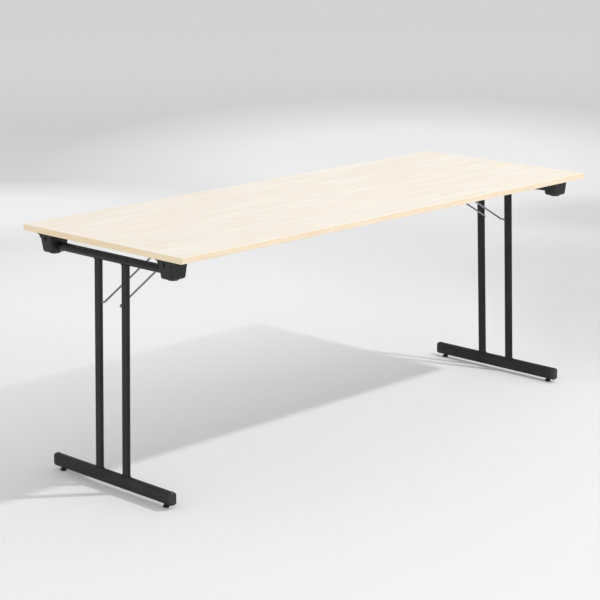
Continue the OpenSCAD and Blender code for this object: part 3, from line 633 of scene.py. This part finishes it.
floor_near, floor_far = -16, 34
floor_mesh = bpy.data.meshes.new("floor")
floor_mesh.from_pydata([(floor_near, floor_near, 0), (floor_far, floor_near, 0),
                        (floor_far, floor_far, 0), (floor_near, floor_far, 0)], [],
                       [(0, 1, 2, 3)])
floor = bpy.data.objects.new("floor", floor_mesh)
bpy.context.collection.objects.link(floor)
floor_finish, floor_tree, floor_shader = new_finish("pale_floor", roughness=0.9, specular=0.1)
ramp_start, ramp_end = -2.0, 10.0
along_view = add(floor_tree, "ShaderNodeSeparateXYZ", {"Vector": place(
    floor_tree, turn=(0, 0, math.radians(-45)))})
distance_tone = add(floor_tree, "ShaderNodeValToRGB", {
    "Fac": spread(floor_tree, along_view.outputs["X"], ramp_start, ramp_end)})
stops = distance_tone.color_ramp.elements
stops[0].position, stops[0].color = 0.03, colour(236, 236, 237)
stops[1].position, stops[1].color = 1.0, colour(214, 215, 217)
for where, grey in ((0.11, 232), (0.18, 231), (0.30, 230), (0.40, 222), (0.55, 212), (0.70, 206)):
    stops.new(where).color = colour(grey, grey, grey + 1)
floor_tone = distance_tone.outputs["Color"]
# Soft patches of painted light (the paler greys) and painted shade (the darker greys) on the floor.
painted_light_and_shade_patches = (
    # Middle x and y, reach along and across the diagonal, grey, and strength.
    (0.9, 1.9, 1.6, 1.4, 244, 0.6), (4.05, 3.25, 2.8, 2.2, 246, 0.75),
    (2.3, 0.35, 1.2, 0.8, 205, 0.6), (1.45, 3.75, 0.9, 1.3, 243, 0.85),
    (3.5, 1.35, 0.6, 0.7, 204, 0.6), (1.6, 0.05, 0.9, 0.5, 208, 0.6))
patch_full = 0.6
for middle_x, middle_y, long_way, short_way, grey, strength in painted_light_and_shade_patches:
    patch_place = add(floor_tree, "ShaderNodeMapping", {
        "Vector": add(floor_tree, "ShaderNodeTexCoord").outputs["Object"],
        "Location": (middle_x, middle_y, 0), "Rotation": (0, 0, math.radians(45)),
        "Scale": (long_way, short_way, 1)}, vector_type="TEXTURE")
    patch = add(floor_tree, "ShaderNodeTexGradient", {"Vector": patch_place.outputs["Vector"]},
                gradient_type="SPHERICAL")
    painted_patch_share = spread(floor_tree, patch.outputs["Fac"], 0.0, patch_full, to_high=strength)
    floor_tone = blend_colours(floor_tree, painted_patch_share, floor_tone, colour(grey, grey, grey + 1))
feed(floor_tree, floor_shader.inputs["Base Color"], floor_tone)
# Behind the table the floor glows for the camera: a painted light that lifts the shadow a little.
seen = what_shows(floor_tree)
shine_start, shine_full, shine_share = 0.15, 1.1, 0.7
behind = add(floor_tree, "ShaderNodeSeparateXYZ", {"Vector": place(floor_tree)}).outputs["Y"]
shine = add(floor_tree, "ShaderNodeEmission", {"Color": floor_tone, "Strength": 1.0})
floor_lit = mix_shaders(
    floor_tree, sums(floor_tree, "MULTIPLY", seen, spread(
        floor_tree, behind, shine_start, shine_full, to_high=shine_share)),
    floor_shader.outputs["BSDF"], shine.outputs["Emission"])
fade_start, fade_end = 6.5, 13.5
far_off = add(floor_tree, "ShaderNodeVectorMath", {0: place(floor_tree)},
              operation="LENGTH").outputs["Value"]
haze = add(floor_tree, "ShaderNodeEmission", {"Color": wall_grey, "Strength": 1.0})
floor_faded = mix_shaders(
    floor_tree, sums(floor_tree, "MULTIPLY", seen, spread(
        floor_tree, far_off, fade_start, fade_end)),
    floor_lit, haze.outputs["Emission"])
feed(floor_tree, floor_tree.nodes["Material Output"].inputs["Surface"], floor_faded)
floor.data.materials.append(floor_finish)

# ---- Light ----
# An even white surround does most of the lighting. One small lamp in front on the right, 2.9 m up,
# gives the clear shadow behind the table. Its light doesn't weaken with distance.
world = bpy.data.worlds.new("surround")
bpy.context.scene.world = world
world.use_nodes = True
world_tree = world.node_tree
surround = world_tree.nodes["Background"]
surround.inputs["Color"].default_value = (1.0, 1.0, 1.0, 1.0)
surround.inputs["Strength"].default_value = 0.79
far_wall = add(world_tree, "ShaderNodeBackground", {"Color": wall_grey, "Strength": 1.0})
feed(world_tree, world_tree.nodes["World Output"].inputs["Surface"], mix_shaders(
    world_tree, what_shows(world_tree), surround.outputs["Background"],
    far_wall.outputs["Background"]))
lamp_data = bpy.data.lights.new("key", "POINT")
lamp_data.energy = 15.4
lamp_data.shadow_soft_size = 0.07
lamp_data.use_nodes = True
lamp_tree = lamp_data.node_tree
even_reach = add(lamp_tree, "ShaderNodeLightFalloff", {"Strength": 1.0}).outputs["Constant"]
feed(lamp_tree, lamp_tree.nodes["Emission"].inputs["Strength"], even_reach)
lamp = bpy.data.objects.new("key", lamp_data)
lamp.location = (1.345, -1.774, 2.864)
bpy.context.collection.objects.link(lamp)
bpy.context.scene.view_settings.view_transform = "Standard"

# ---- Camera ----
# It stands beyond the front left corner, 5.8 m across the floor from the table's middle and 1.8 m
# up, with a long lens. It looks along the floor's diagonal and down by 14 degrees, and is rolled
# by half a degree.
stands_at = (-4.159557, -4.059621, 1.820125)
turn, rise, roll = math.radians(-44.989), math.radians(13.664), math.radians(-0.54)
backward = Vector((math.sin(turn) * math.cos(rise), -math.cos(turn) * math.cos(rise),
                   math.sin(rise)))
level = Vector((math.cos(turn), math.sin(turn), 0))
upright = backward.cross(level)
right_way = level * math.cos(roll) + upright * math.sin(roll)
up_way = upright * math.cos(roll) - level * math.sin(roll)
camera_data = bpy.data.cameras.new("camera")
camera_data.sensor_width = 36.0
camera_data.lens = 112.84
camera_data.clip_end = 100.0
camera = bpy.data.objects.new("camera", camera_data)
camera.matrix_world = Matrix.Translation(stands_at) @ Matrix(
    (right_way, up_way, backward)).transposed().to_4x4()
bpy.context.collection.objects.link(camera)
bpy.context.scene.camera = camera
